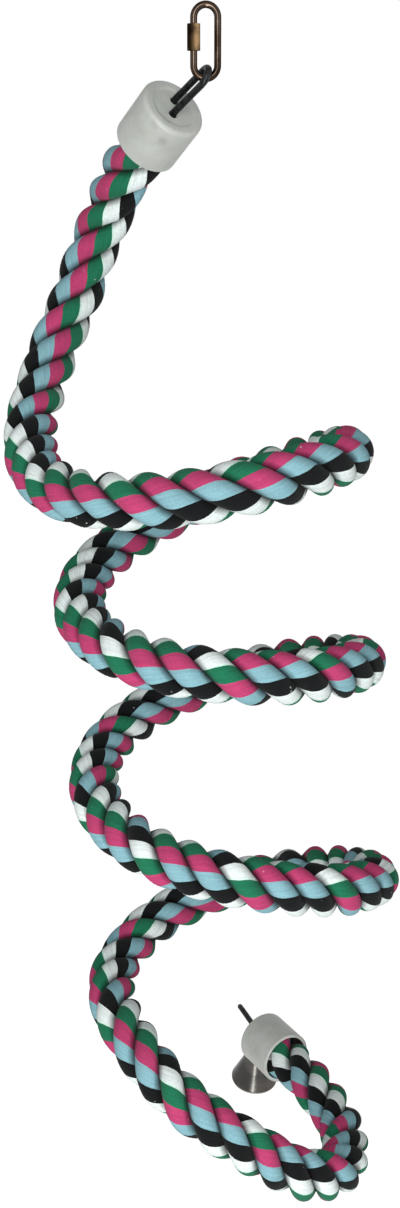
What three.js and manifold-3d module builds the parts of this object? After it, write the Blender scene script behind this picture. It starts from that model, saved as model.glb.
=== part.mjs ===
// A bird's coiled rope perch: a three-strand rope round a springy core wire, with a plastic cap and a wire
// eye at each end, a quick link to hang it by and a bell at the bottom.
// Millimetres, +Z up. The origin is the hang point, at the inside of the quick link's top.
import * as THREE from "three";
import { mergeVertices } from "three/addons/utils/BufferGeometryUtils.js";
import Module from "manifold-3d";

// Clearance between pieces that touch or run in one another
const fitGap = 0.3;

// Quick link and its sleeve nut
const linkWire = 4;
const linkWidth = 13.5; // between the centres of the two sides
const linkHeight = 38.7; // between the centres of the two bows
const linkGapTop = 9.5; // below the hang point
const linkGapLength = 5;
const nutAcross = 7.4; // across the flats
const nutLength = 14;
const nutCover = 1.5; // how far the closed nut reaches past the gap's upper end

// Wire eyes
const eyeWire = 4.2;
const eyeSpread = 11; // between the centres of the two legs
const eyeReach = 33.5; // from the cap's face to the centre of the bow's wire
const eyeStraight = 1.5; // what stands straight out of the face before the wire leans
const eyeSlack = 1.1; // play of the top eye on the link, which crosses it aslant

// Caps, and the crimp sleeve in each
const capWall = 3;
const capLength = 34;
const capFace = 3.5;
const capEdge = 3.5; // rounding of the closed end
const capLip = 0.9; // bevel inside the mouth
const legHoleGap = 0.5;
const ferruleLength = 11;
const ferruleWall = 1.5;

// Rope and its core wire
const ropeDiameter = 33;
const ropeInCapGap = 0.5;
const coreWire = 4;
const coreGap = 0.5;

// Bell, its ring and its clapper. Depths are below the centre of the eye's leg.
const bellFromFace = 8; // along the leg
const crownDepth = 9.5;
const crownFlat = 5.8; // radius of the flat top
const crownRadius = 8.4;
const crownRound = 4.5; // height of its rounded shoulder
const waistDepth = 23;
const waistRadius = 9.4;
const flareDepth = 38;
const flareRadius = 15.2;
const lipDepth = 47.5;
const lipRadius = 18.5;
const lipEdge = 2; // height over which the lip turns in
const lipTurn = 0.4;
const bellWall = 1.1;
const ringWire = 1.8;
const ringLength = 13.6; // between the centres of its two bows
const rodDiameter = 1.6;
const eyeletRadius = 2.2; // to the centre of the eyelet's wire
const ballDiameter = 9;
const ballDepth = 41;

// Directions of the caps' axes, towards the closed end, of the eyes and of the eyes' spread
const topAxis = new THREE.Vector3(0.509, -0.609, 0.608).normalize();
const topLean = new THREE.Vector3(0.59, -0.605, 0.54).normalize();
const topSpread = new THREE.Vector3(0.07, 0.72, 0.69);
const topSeat = new THREE.Vector3(0.29, -0.68, 0.68).normalize(); // from the link's bow to the eye's
const bottomAxis = new THREE.Vector3(-0.53, 0.848, 0.013).normalize();
const bottomLean = new THREE.Vector3(-0.438, 0.889, 0.133).normalize();
const bottomSpread = new THREE.Vector3(0.41, 0.33, -0.85);
const bottomMouth = new THREE.Vector3(62.6, 60, -735);

// The rope's route between the caps. Where it isn't coiled, its points are chosen by hand.
const leadIn = [
  [-61, 73, -111], [-73, 79, -137], [-84, 74, -167], [-94, 62, -190], [-101, 47, -209],
  [-106, 26, -227], [-107, 1, -242], [-99, -33, -258], [-71, -69, -264],
];
const tail = [
  [-62, -26, -628], [-46, -61, -634], [-27, -83, -646], [-1, -98, -663], [30, -102, -684],
  [65, -94, -711], [92, -64, -730], [98, -13, -740],
];
const besideCap = 30; // from a cap's mouth to the last point on its axis
const coilPlace = new THREE.Vector3(-1.7, -3.5, -226); // the centre of the turn that starts at the left
const coilRadius = 82.4;
const coilWidening = 3.7; // what the radius gains in a turn
const coilDriftX = 7.1; // how far a turn's centre moves to the right
const coilDriftBend = 1;
const coilDriftY = 1.3; // how far it moves to the front
const coilPitch = 90.6;
const coilPitchGain = 14.3; // what the pitch gains as the turns go down
const rightLift = 35.7; // how much higher a turn's right side stands than its centre
const rightLiftLoss = 26.4;
const rightLiftBend = 5;
const backLift = 9.1;
const backLiftLoss = 4.2;
const backLiftBend = 1.6;
const coilStart = 255; // degrees: 180 is the left side, and 270 is the front
const coilEnd = 1245;
const coilStep = 30;
const ringsPerPoint = 2;
const ropeSides = 10;
const coreSides = 6;

const plastic = { color: 0xb9bdb6, roughness: 0.45, metalness: 0 };
const chrome = { color: 0xd8d8dc, roughness: 0.12, metalness: 1 };
const darkSteel = { color: 0x2b2b2c, roughness: 0.4, metalness: 0.9 };
const nickel = { color: 0x8d857a, roughness: 0.16, metalness: 1 };
const cotton = { color: 0x2f7f5c, roughness: 0.95, metalness: 0 };
const crimpSteel = { color: 0x9a9ca0, roughness: 0.35, metalness: 1 };

const wasm = await Module();
wasm.setup();

const vector = ([x, y, z]) => new THREE.Vector3(x, y, z);

// A point that lies at a distance from another along a direction
const along = (from, direction, distance) => from.clone().addScaledVector(direction, distance);

// The part of a direction that is square to an axis, at unit length
function squareTo(axis, direction) {
  return direction.clone().addScaledVector(axis, -direction.dot(axis)).normalize();
}

// A piece's own frame: Z along the axis, X along the spread
function place(mesh, origin, axis, spread) {
  const x = squareTo(axis, spread);
  const y = axis.clone().cross(x);
  mesh.quaternion.setFromRotationMatrix(new THREE.Matrix4().makeBasis(x, y, axis));
  mesh.position.copy(origin);
  return mesh;
}

function piece(name, geometry, finish) {
  const mesh = new THREE.Mesh(geometry, new THREE.MeshStandardMaterial(finish));
  mesh.name = name;
  return mesh;
}

function solid(geometry) {
  const bare = geometry.clone();
  bare.deleteAttribute("normal");
  bare.deleteAttribute("uv");
  const merged = mergeVertices(bare, 1e-4);
  return new wasm.Manifold(new wasm.Mesh({
    numProp: 3,
    vertProperties: merged.attributes.position.array,
    triVerts: new Uint32Array(merged.index.array),
  }));
}

function geometryOf(body) {
  const mesh = body.getMesh();
  const geometry = new THREE.BufferGeometry();
  geometry.setAttribute("position", new THREE.BufferAttribute(mesh.vertProperties, 3));
  geometry.setIndex(new THREE.BufferAttribute(mesh.triVerts, 1));
  geometry.computeVertexNormals();
  return geometry;
}

// A profile of radius and height, turned about the Z axis
function turned(profile, segments) {
  const outline = profile.map(([radius, height]) => new THREE.Vector2(radius, height));
  return new THREE.LatheGeometry(outline, segments).rotateX(Math.PI / 2);
}

// A polygon whose flats lie at the radius, so that a round wire of that radius fits inside it
function roundHole(radius, sides, x = 0) {
  const hole = new THREE.Path();
  const reach = radius / Math.cos(Math.PI / sides);
  for (let i = 0; i < sides; i++) {
    const angle = (-2 * Math.PI * i) / sides;
    const point = [x + reach * Math.cos(angle), reach * Math.sin(angle)];
    if (i === 0) hole.moveTo(...point);
    else hole.lineTo(...point);
  }
  hole.closePath();
  return hole;
}

function bar(shape, length) {
  return new THREE.ExtrudeGeometry(shape, { depth: length, bevelEnabled: false });
}

function cylinder(radius, from, to, x, segments) {
  const reach = radius / Math.cos(Math.PI / segments);
  return new THREE.CylinderGeometry(reach, reach, to - from, segments)
    .rotateX(Math.PI / 2)
    .translate(x, 0, (from + to) / 2);
}

// A round wire along a smooth path
function wire(points, diameter, steps, sides) {
  const section = new THREE.Shape();
  section.absarc(0, 0, diameter / 2, 0, 2 * Math.PI);
  const path = new THREE.CatmullRomCurve3(points, false, "centripetal");
  return new THREE.ExtrudeGeometry(section, {
    steps, curveSegments: sides / 2, bevelEnabled: false, extrudePath: path,
  });
}

// Points on an arc from one direction towards another
function arc(centre, radius, first, second, from, to, count) {
  return Array.from({ length: count + 1 }, (_, i) => {
    const angle = THREE.MathUtils.degToRad(from + ((to - from) * i) / count);
    return along(along(centre, first, radius * Math.cos(angle)), second, radius * Math.sin(angle));
  });
}

// Cross-sections along a route, turned as little as possible from one to the next
function sections(route) {
  const tangents = route.map((_, i) => {
    const before = route[Math.max(i - 1, 0)];
    const after = route[Math.min(i + 1, route.length - 1)];
    return after.clone().sub(before).normalize();
  });
  let side = squareTo(tangents[0], new THREE.Vector3(0, 0, 1));
  return route.map((centre, i) => {
    side = squareTo(tangents[i], side);
    return { centre, side, up: tangents[i].clone().cross(side) };
  });
}

// A tube through the cross-sections. With a bore it is a pipe with ring-shaped ends, and without one its ends
// are flat.
function tube(rings, radius, sides, boreRadius = 0, boreSides = 0) {
  const positions = [];
  const index = [];
  const skin = (reach, count) => {
    const first = positions.length / 3;
    for (const { centre, side, up } of rings)
      for (let k = 0; k < count; k++) {
        const angle = (2 * Math.PI * k) / count;
        const point = along(along(centre, side, reach * Math.cos(angle)), up, reach * Math.sin(angle));
        positions.push(point.x, point.y, point.z);
      }
    return first;
  };
  const walls = (first, count, inward) => {
    for (let i = 0; i + 1 < rings.length; i++)
      for (let k = 0; k < count; k++) {
        const a = first + i * count + k;
        const b = first + i * count + ((k + 1) % count);
        const quad = [a, b, b + count, a, b + count, a + count];
        index.push(...(inward ? quad.reverse() : quad));
      }
  };
  // Triangles of a ring-shaped end between the outer and the inner polygon
  const ringEnd = (outer, inner, reversed) => {
    let i = 0;
    let j = 0;
    while (i < sides || j < boreSides) {
      const outerNext = (i + 1) / sides <= (j + 1) / boreSides;
      const a = outer + (i % sides);
      const c = inner + (j % boreSides);
      const next = outerNext ? outer + ((i + 1) % sides) : inner + ((j + 1) % boreSides);
      const corners = [a, c, next];
      index.push(...(reversed ? corners.reverse() : corners));
      if (outerNext) i++;
      else j++;
    }
  };
  const flatEnd = (first, reversed) => {
    for (let k = 1; k + 1 < sides; k++) {
      const corners = [first, first + k + 1, first + k];
      index.push(...(reversed ? corners.reverse() : corners));
    }
  };
  const outer = skin(radius, sides);
  walls(outer, sides, false);
  const lastRing = rings.length - 1;
  if (boreRadius) {
    const inner = skin(boreRadius, boreSides);
    walls(inner, boreSides, true);
    ringEnd(outer, inner, false);
    ringEnd(outer + lastRing * sides, inner + lastRing * boreSides, true);
  } else {
    flatEnd(outer, false);
    flatEnd(outer + lastRing * sides, true);
  }
  const geometry = new THREE.BufferGeometry();
  geometry.setAttribute("position", new THREE.Float32BufferAttribute(positions, 3));
  geometry.setIndex(index);
  geometry.computeVertexNormals();
  return geometry;
}

// Heights of the quick link's parts
const linkTop = linkWire / 2;
const bowRadius = linkWidth / 2;
const upperBow = linkTop - bowRadius;
const lowerBow = linkTop - linkHeight + bowRadius;
const linkBottom = new THREE.Vector3(0, 0, linkTop - linkHeight);

function quickLink() {
  const x = new THREE.Vector3(1, 0, 0);
  const z = new THREE.Vector3(0, 0, 1);
  const leg = (side, height) => new THREE.Vector3(side * bowRadius, 0, height);
  const points = [
    leg(-1, -linkGapTop),
    ...arc(new THREE.Vector3(0, 0, upperBow), bowRadius, x, z, 180, 0, 8),
    leg(1, (upperBow + lowerBow) / 2),
    ...arc(new THREE.Vector3(0, 0, lowerBow), bowRadius, x, z, 0, -180, 8),
    leg(-1, -linkGapTop - linkGapLength),
  ];
  return piece("quick_link", wire(points, linkWire, 46, 10), chrome);
}

function linkNut() {
  const hexagon = new THREE.Shape();
  const corner = nutAcross / Math.sqrt(3);
  for (let i = 0; i < 6; i++) {
    const angle = (i * Math.PI) / 3 + Math.PI / 6;
    const point = [corner * Math.cos(angle), corner * Math.sin(angle)];
    if (i === 0) hexagon.moveTo(...point);
    else hexagon.lineTo(...point);
  }
  hexagon.closePath();
  hexagon.holes.push(roundHole(linkWire / 2 + fitGap, 12));
  const nut = piece("link_nut", bar(hexagon, nutLength), chrome);
  nut.position.set(-bowRadius, 0, -linkGapTop + nutCover - nutLength);
  return nut;
}

// The two ends of the rope. Each has the cap's face centre, its mouth centre and its directions.
function ropeEnd(face, axis, lean, spread) {
  const legX = squareTo(axis, spread);
  const bowX = squareTo(lean, spread);
  const bowCentre = along(face, lean, eyeReach - eyeSpread / 2);
  return { face, mouth: along(face, axis, -capLength), axis, lean, legX, bowX, bowCentre };
}

const topBow = along(linkBottom, topSeat, linkWire / 2 + eyeWire / 2 + eyeSlack);
const topEnd = ropeEnd(along(topBow, topLean, -eyeReach), topAxis, topLean, topSpread);
const bottomEnd = ropeEnd(along(bottomMouth, bottomAxis, capLength), bottomAxis, bottomLean, bottomSpread);

const capBore = ropeDiameter / 2 + ropeInCapGap;
const capOuter = capBore + capWall;
const legHole = eyeWire / 2 + legHoleGap;
const ropeInCap = capLength - capFace - ferruleLength - 2 * fitGap;

// The part of an eye's leg outside the cap, as its two ends
function legOf(end, side) {
  return [
    along(along(end.face, end.legX, (side * eyeSpread) / 2), end.axis, eyeStraight),
    along(end.bowCentre, end.bowX, (side * eyeSpread) / 2),
  ];
}

function eye(name, end) {
  const depth = capFace + ferruleLength;
  const inside = (side) => {
    const hole = along(end.face, end.legX, (side * eyeSpread) / 2);
    return [along(hole, end.axis, -depth), along(hole, end.axis, -capFace)];
  };
  const leg = (side) => {
    const [foot, top] = legOf(end, side);
    return [...inside(side), foot, foot.clone().lerp(top, 0.3), foot.clone().lerp(top, 0.7)];
  };
  const bow = arc(end.bowCentre, eyeSpread / 2, end.bowX, end.lean, 0, 180, 8);
  return piece(name, wire([...leg(1), ...bow, ...leg(-1).reverse()], eyeWire, 62, 10), darkSteel);
}

// A cup in its own frame: the closed end's outer face is at height 0, and the mouth is at -capLength
function cap(name, end) {
  const rounding = Array.from({ length: 5 }, (_, i) => {
    const angle = (i * Math.PI) / 8;
    return [capOuter - capEdge * (1 - Math.cos(angle)), -capEdge * (1 - Math.sin(angle))];
  });
  const profile = [
    [0, -capFace],
    [capBore, -capFace],
    [capBore, -capLength + capLip],
    [capBore + capLip, -capLength],
    [capOuter, -capLength],
    ...rounding,
    [0, 0],
  ];
  let body = solid(turned(profile, 32));
  for (const side of [-1, 1])
    body = body.subtract(solid(cylinder(legHole, -capFace - 1, 1, (side * eyeSpread) / 2, 12)));
  return place(piece(name, geometryOf(body), plastic), end.face, end.axis, end.legX);
}

// The crimp sleeve, with the eye's two legs on either side of the core wire
function ferrule(name, end) {
  const legBore = eyeWire / 2 + fitGap;
  const round = legBore + ferruleWall;
  const outline = new THREE.Shape();
  outline.absarc(eyeSpread / 2, 0, round, -Math.PI / 2, Math.PI / 2);
  outline.absarc(-eyeSpread / 2, 0, round, Math.PI / 2, (3 * Math.PI) / 2);
  outline.closePath();
  for (const side of [-1, 1]) outline.holes.push(roundHole(legBore, 12, (side * eyeSpread) / 2));
  outline.holes.push(roundHole(coreWire / 2 + fitGap, 12));
  const sleeve = piece(name, bar(outline, ferruleLength), crimpSteel);
  const foot = along(end.face, end.axis, -capFace - fitGap - ferruleLength);
  return place(sleeve, foot, end.axis, end.legX);
}

// A point of the coil. It goes down and widens as it turns from the left to the front to the right, and its
// turns lean: the right side stands higher than the left, and less so with each turn.
function coilPoint(degrees) {
  const turns = (degrees - 180) / 360;
  const angle = THREE.MathUtils.degToRad(degrees);
  const radius = coilRadius + coilWidening * turns;
  const right = rightLift - rightLiftLoss * turns + rightLiftBend * turns ** 2;
  const back = backLift - backLiftLoss * turns - backLiftBend * turns ** 2;
  return new THREE.Vector3(
    coilPlace.x + coilDriftX * turns + coilDriftBend * turns ** 2 + radius * Math.cos(angle),
    coilPlace.y - coilDriftY * turns + radius * Math.sin(angle),
    coilPlace.z - coilPitch * turns - coilPitchGain * turns ** 2
      + right * Math.cos(angle) + back * Math.sin(angle),
  );
}

// The route's points from one end of the rope to the other, straight for one diameter at each end
function routePoints() {
  const straight = (end) =>
    [ropeInCap, ropeInCap - ropeDiameter / 2, ropeInCap - ropeDiameter, -besideCap]
      .map((distance) => along(end.mouth, end.axis, distance));
  const coil = [];
  for (let degrees = coilStart; degrees <= coilEnd; degrees += coilStep) coil.push(coilPoint(degrees));
  return [
    ...straight(topEnd), ...leadIn.map(vector), ...coil, ...tail.map(vector), ...straight(bottomEnd).reverse(),
  ];
}

// The smooth centre line through the route's points
function centreLine(points) {
  const curve = new THREE.CatmullRomCurve3(points, false, "catmullrom", 0.5);
  return curve.getPoints((points.length - 1) * ringsPerPoint);
}

// The least distance between two parts of the rope's surface that lie further apart along it than a few
// diameters
function leastOwnGap(line) {
  const travelled = [0];
  for (let i = 1; i < line.length; i++) travelled.push(travelled[i - 1] + line[i].distanceTo(line[i - 1]));
  let least = Infinity;
  for (let i = 0; i < line.length; i++)
    for (let j = i + 1; j < line.length; j++)
      if (travelled[j] - travelled[i] > 4 * ropeDiameter) least = Math.min(least, line[i].distanceTo(line[j]));
  return { gap: least - ropeDiameter, length: travelled.at(-1) };
}

function ropeAndCore() {
  const line = centreLine(routePoints());
  const rings = sections(line);
  const { gap, length } = leastOwnGap(line);
  console.log(`rope: ${length.toFixed(0)} mm long, least gap to itself ${gap.toFixed(1)} mm`);
  const coreEnds = (end) => [ferruleLength, 0].map((d) => along(end.mouth, end.axis, ropeInCap + fitGap + d));
  const coreLine = [...coreEnds(topEnd), ...line, ...coreEnds(bottomEnd).reverse()];
  const bore = coreWire / 2 + coreGap;
  return [
    piece("rope", tube(rings, ropeDiameter / 2, ropeSides, bore, coreSides), cotton),
    piece("core_wire", tube(sections(coreLine), coreWire / 2, coreSides), crimpSteel),
  ];
}

// The bell hangs square to one leg of the bottom eye, which runs along its own Y axis
function bellGroup() {
  const [foot, top] = legOf(bottomEnd, 1);
  const leg = top.clone().sub(foot).normalize();
  const x = leg.clone().cross(new THREE.Vector3(0, 0, 1)).normalize();
  const z = x.clone().cross(leg);
  const group = new THREE.Group();
  group.quaternion.setFromRotationMatrix(new THREE.Matrix4().makeBasis(x, leg, z));
  group.position.copy(along(foot, leg, bellFromFace - eyeStraight));
  const slope = Math.asin(leg.z);
  group.add(bell(), bellRing(), clapper(slope));
  return group;
}

function bellOutline(shrink) {
  const shoulder = [0, Math.PI / 4, Math.PI / 2].map((angle) => new THREE.Vector2(
    crownFlat + (crownRadius - crownFlat) * Math.sin(angle),
    -crownDepth - crownRound * (1 - Math.cos(angle)),
  ));
  return new THREE.SplineCurve([
    ...shoulder,
    new THREE.Vector2(waistRadius, -waistDepth),
    new THREE.Vector2(flareRadius, -flareDepth),
    new THREE.Vector2(lipRadius, -lipDepth + lipEdge),
    new THREE.Vector2(lipRadius - lipTurn, -lipDepth),
  ]).getPoints(14).map((p) => [p.x - shrink, p.y]);
}

const ringX = eyeWire / 2 + fitGap + ringWire / 2;

function bell() {
  const outer = bellOutline(0);
  const inner = bellOutline(bellWall).filter(([, height]) => height < -crownDepth - bellWall);
  const profile = [
    [0, -crownDepth],
    ...outer,
    ...inner.reverse(),
    [crownFlat - bellWall, -crownDepth - bellWall],
    [0, -crownDepth - bellWall],
  ].reverse();
  let body = solid(turned(profile, 24));
  for (const side of [-1, 1]) {
    const hole = cylinder(ringWire / 2 + fitGap, -crownDepth - bellWall - 1, -crownDepth + 1, side * ringX, 10);
    body = body.subtract(solid(hole));
  }
  return piece("bell", geometryOf(body), nickel);
}

// A long oval ring in its own XZ plane: its upper bow goes over the leg, and its lower bow is inside the crown
function bellRing() {
  const x = new THREE.Vector3(1, 0, 0);
  const z = new THREE.Vector3(0, 0, 1);
  const lower = new THREE.Vector3(0, 0, -ringLength);
  const line = [
    ...arc(new THREE.Vector3(), ringX, x, z, 0, 180, 10),
    ...arc(lower, ringX, x, z, 180, 360, 10),
  ];
  return piece("bell_hanger", closedTube(line, ringWire / 2, 8), crimpSteel);
}

// A tube round a flat loop of points in the XZ plane
function closedTube(line, radius, sides) {
  const positions = [];
  const index = [];
  const out = new THREE.Vector3(0, 1, 0);
  const count = line.length;
  line.forEach((centre, i) => {
    const before = line[(i + count - 1) % count];
    const after = line[(i + 1) % count];
    const side = after.clone().sub(before).normalize().cross(out);
    for (let k = 0; k < sides; k++) {
      const angle = (2 * Math.PI * k) / sides;
      const point = along(along(centre, side, radius * Math.cos(angle)), out, radius * Math.sin(angle));
      positions.push(point.x, point.y, point.z);
    }
  });
  for (let i = 0; i < count; i++)
    for (let k = 0; k < sides; k++) {
      const corner = (ring, step) => (ring % count) * sides + (step % sides);
      const [a, b] = [corner(i, k), corner(i, k + 1)];
      const [c, d] = [corner(i + 1, k + 1), corner(i + 1, k)];
      index.push(a, c, b, a, d, c);
    }
  const geometry = new THREE.BufferGeometry();
  geometry.setAttribute("position", new THREE.Float32BufferAttribute(positions, 3));
  geometry.setIndex(index);
  geometry.computeVertexNormals();
  return geometry;
}

// The clapper hangs upright from the ring's lower bow, whatever the slope of the leg
function clapper(slope) {
  const seat = -ringLength - ringX;
  const eyeletCentre = -(eyeletRadius - rodDiameter / 2 - ringWire / 2 - fitGap);
  const ballHeight = -(ballDepth + seat);
  const eyelet = new THREE.TorusGeometry(eyeletRadius, rodDiameter / 2, 8, 16)
    .rotateY(Math.PI / 2)
    .translate(0, 0, eyeletCentre);
  const rod = cylinder(rodDiameter / 2, ballHeight, eyeletCentre - eyeletRadius, 0, 8);
  const ball = new THREE.SphereGeometry(ballDiameter / 2, 14, 10).translate(0, 0, ballHeight);
  const body = solid(eyelet).add(solid(rod)).add(solid(ball));
  const mesh = piece("clapper", geometryOf(body), darkSteel);
  mesh.position.set(0, 0, seat);
  mesh.rotation.x = -slope;
  return mesh;
}

const toy = new THREE.Group();
toy.add(
  quickLink(),
  linkNut(),
  eye("top_eye", topEnd),
  cap("top_cap", topEnd),
  ferrule("top_ferrule", topEnd),
  ...ropeAndCore(),
  ferrule("bottom_ferrule", bottomEnd),
  cap("bottom_cap", bottomEnd),
  eye("bottom_eye", bottomEnd),
  bellGroup(),
);

export default toy;
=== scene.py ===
"""A bird's coiled rope perch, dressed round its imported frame. Metres, +Z up, origin at the hang point."""
import math

import bmesh
import bpy
import numpy as np
from mathutils import Matrix, Vector

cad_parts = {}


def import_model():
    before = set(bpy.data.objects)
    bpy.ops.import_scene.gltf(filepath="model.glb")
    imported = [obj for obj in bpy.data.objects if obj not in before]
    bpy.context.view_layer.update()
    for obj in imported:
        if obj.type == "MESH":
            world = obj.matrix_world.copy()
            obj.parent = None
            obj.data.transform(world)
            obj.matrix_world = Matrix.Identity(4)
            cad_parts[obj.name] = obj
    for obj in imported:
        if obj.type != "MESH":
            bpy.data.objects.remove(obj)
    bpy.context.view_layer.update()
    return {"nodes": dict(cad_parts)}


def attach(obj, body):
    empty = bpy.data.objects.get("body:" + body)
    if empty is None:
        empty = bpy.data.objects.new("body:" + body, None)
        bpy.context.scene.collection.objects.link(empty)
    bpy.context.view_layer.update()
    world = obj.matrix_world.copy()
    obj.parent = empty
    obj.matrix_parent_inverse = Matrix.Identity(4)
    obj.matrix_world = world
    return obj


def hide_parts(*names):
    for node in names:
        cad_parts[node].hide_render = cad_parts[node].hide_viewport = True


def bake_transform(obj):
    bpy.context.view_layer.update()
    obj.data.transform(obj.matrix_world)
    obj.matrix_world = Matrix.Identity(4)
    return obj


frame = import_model()

# View of the photograph
IMAGE_HEIGHT = 1208
FOCAL_PIXELS = 1370
CAMERA_PLACE = (-0.0032, -0.83, -0.08)
CAMERA_DOWN = math.radians(18)

# Sizes that the frame's solids have too
LINK_WIRE = 0.004
LINK_WIDTH = 0.0135  # between the centres of its two sides
LINK_HEIGHT = 0.0387  # from bow to bow, between the centres of the wire
LINK_GAP_TOP = 0.0095  # below the hang point
LINK_GAP = 0.005
NUT_ACROSS = 0.0074
NUT_LENGTH = 0.014
NUT_COVER = 0.0015  # what the nut covers of the wire above the gap
EYE_WIRE = 0.0042
EYE_SPREAD = 0.011  # between the centres of its legs
EYE_REACH = 0.0335  # from the cap's face to the centre of the bow's wire
EYE_STRAIGHT = 0.0015  # what stands straight out of the face before the wire leans
EYE_SLACK = 0.0011  # play between the link's bow and the top eye's
CAP_WALL = 0.003
CAP_LENGTH = 0.034
CAP_FACE = 0.0035  # thickness of its closed end
CAP_EDGE = 0.0035  # rounding of that end's edge
CAP_LIP = 0.0009  # bevel inside its mouth
LEG_HOLE_GAP = 0.0005
FERRULE_LENGTH = 0.011
FIT_GAP = 0.0003
ROPE_DIAMETER = 0.033
ROPE_IN_CAP_GAP = 0.0005
CORE_WIRE = 0.004
BELL_FROM_FACE = 0.008  # from the cap's face, along the eye's leg
# The bell's depths are measured from the middle of that leg
CROWN_DEPTH = 0.0095
CROWN_FLAT = 0.0058
CROWN_RADIUS = 0.0084
CROWN_ROUND = 0.0045
WAIST_DEPTH = 0.023
WAIST_RADIUS = 0.0094
FLARE_DEPTH = 0.038
FLARE_RADIUS = 0.0152
LIP_DEPTH = 0.0475
LIP_RADIUS = 0.0185
BELL_WALL = 0.0011
RING_WIRE = 0.0018
RING_LENGTH = 0.0136  # between the centres of its two bows
ROD_DIAMETER = 0.0016
EYELET_RADIUS = 0.0022  # to the centre of the eyelet's wire
BALL_DIAMETER = 0.009
BALL_DEPTH = 0.041

# Edges and slopes that only the dressed pieces have
DISH = 0.0007  # depth of the shallow dish in a cap's face
DISH_START = 1.6 * CAP_EDGE  # in from the cap's side
DISH_END = 2.1 * CAP_EDGE
# Roundings of the corners of a cap's section, by their number in it
CAP_CORNERS = {1: 0.001, 2: 0.0006, 3: 0.0004, 4: 0.0007, 5: CAP_EDGE, 6: 0.0025, 7: 0.0015}
HOLE_CHAMFER = 0.0006
WIRE_END_ROUND = 0.0004
LINK_END_ROUND = 0.0003
NUT_CHAMFER = 0.0006
NUT_BORE_CHAMFER = 0.0003
NUT_CORNER_SHARE = 0.985  # how much of a sharp corner's reach is left
NUT_END_PROUD = 0.0001  # how far the round end stands out over the flats
BELL_SLACK = 0.0003  # taken off the outside, so that the swung bell clears the cap
LIP_STRAIGHT = 0.002  # height of the bell's upright lip
LIP_EDGE = 0.0008
LIP_ROUND = 0.0006
# Height of the painted highlight along the bell's lip
LIP_HIGHLIGHT_HEIGHT = 0.0018

# The rope's lay
STRANDS = 3
BANDS = 5
STRAND_CENTRE = 0.0082
STRAND_DEEP = 0.0083  # half of a strand's section along the rope's radius
STRAND_WIDE = 0.0092  # half of it across
LOBE_COLUMNS = 16
RING_STEP = 0.002
LAY_SMOOTHING = 21  # rings
# The strands swell and thin a little in two waves along the rope. Each has its share of a strand's reach, its
# radians to the metre, and its shift from strand to strand.
SWELLING = [(0.012, 61, 2.1), (0.01, 143, 1)]
# Metres along the rope, and the turns that its strands have made by then
LAY = [
    (0, -0.95), (0.048, -0.37), (0.152, 0.95), (0.232, 1.96), (0.368, 4.15), (0.436, 5.1), (0.476, 5.68),
    (0.784, 10.05), (0.922, 12.3), (1.03, 13.93), (1.34, 18.5), (1.478, 20.7), (1.598, 22.65), (1.93, 27.23),
    (2.066, 29.05), (2.224, 31.3), (2.4, 33.66),
]
# How far the colours have moved round each strand by a place along the rope, in bands
BAND_DRIFT = [
    (0, 5.6), (0.06, 6.6), (0.1, 6.8), (0.2, 7.9), (0.3, 9.6), (0.37, 10.9), (0.44, 11.2), (0.49, 12),
    (0.59, 11.8), (0.62, 12.7), (0.67, 12.7), (0.73, 11.7), (0.78, 11.5), (0.85, 11.4), (0.88, 11.6),
    (0.93, 12.4), (1, 13.6), (1.06, 14.2), (1.14, 14.1), (1.18, 15), (1.23, 14.8), (1.28, 13.6), (1.34, 12.7),
    (1.4, 13.2), (1.45, 13.9), (1.5, 15), (1.6, 15.9), (1.71, 16.2), (1.74, 17.3), (1.82, 17.7), (1.88, 15.6),
    (1.95, 15.6), (2, 16.6), (2.06, 17.8), (2.13, 18.9), (2.2, 20.4), (2.25, 21.3), (2.3, 22.9), (2.4, 25.9),
]
# How many bands the last strand is behind the other two at a place along the rope
LAST_STRAND_LAG = [
    (0, 1), (0.86, 1), (0.92, 1.9), (1, 1.8), (1.08, 1.4), (1.34, 2.2), (1.6, 2.1), (1.93, 2.5), (2.1, 1.9),
    (2.22, 1.5),
]

# Directions
X = Vector((1, 0, 0))
Y = Vector((0, 1, 0))
Z = Vector((0, 0, 1))


def unit(x, y, z):
    return Vector((x, y, z)).normalized()


# The caps' axes towards their closed ends, the eyes' lean and the spread of the eyes' legs
TOP_AXIS = unit(0.509, -0.609, 0.608)
TOP_LEAN = unit(0.59, -0.605, 0.54)
TOP_SPREAD = unit(0.07, 0.72, 0.69)
TOP_SEAT = unit(0.29, -0.68, 0.68)  # from the link's bow to the eye's
BOTTOM_AXIS = unit(-0.53, 0.848, 0.013)
BOTTOM_LEAN = unit(-0.438, 0.889, 0.133)
BOTTOM_SPREAD = unit(0.41, 0.33, -0.85)
BOTTOM_MOUTH = Vector((0.0626, 0.06, -0.735))  # the middle of the bottom cap's mouth

# The rope's route where it isn't coiled
LEAD_IN = [
    (-0.061, 0.073, -0.111), (-0.073, 0.079, -0.137), (-0.084, 0.074, -0.167), (-0.094, 0.062, -0.19),
    (-0.101, 0.047, -0.209), (-0.106, 0.026, -0.227), (-0.107, 0.001, -0.242), (-0.099, -0.033, -0.258),
    (-0.071, -0.069, -0.264),
]
TAIL = [
    (-0.062, -0.026, -0.628), (-0.046, -0.061, -0.634), (-0.027, -0.083, -0.646), (-0.001, -0.098, -0.663),
    (0.03, -0.102, -0.684), (0.065, -0.094, -0.711), (0.092, -0.064, -0.73), (0.098, -0.013, -0.74),
]
BESIDE_CAP = 0.03  # from a cap's mouth to the last point on its axis
COIL_PLACE = Vector((-0.0017, -0.0035, -0.226))  # the centre of the turn that starts at the left
COIL_RADIUS = 0.0824
COIL_WIDENING = 0.0037  # what the radius gains in a turn
COIL_DRIFT_X = 0.0071  # how far a turn's centre moves to the right
COIL_DRIFT_BEND = 0.001  # what that gains with the turns squared
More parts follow.
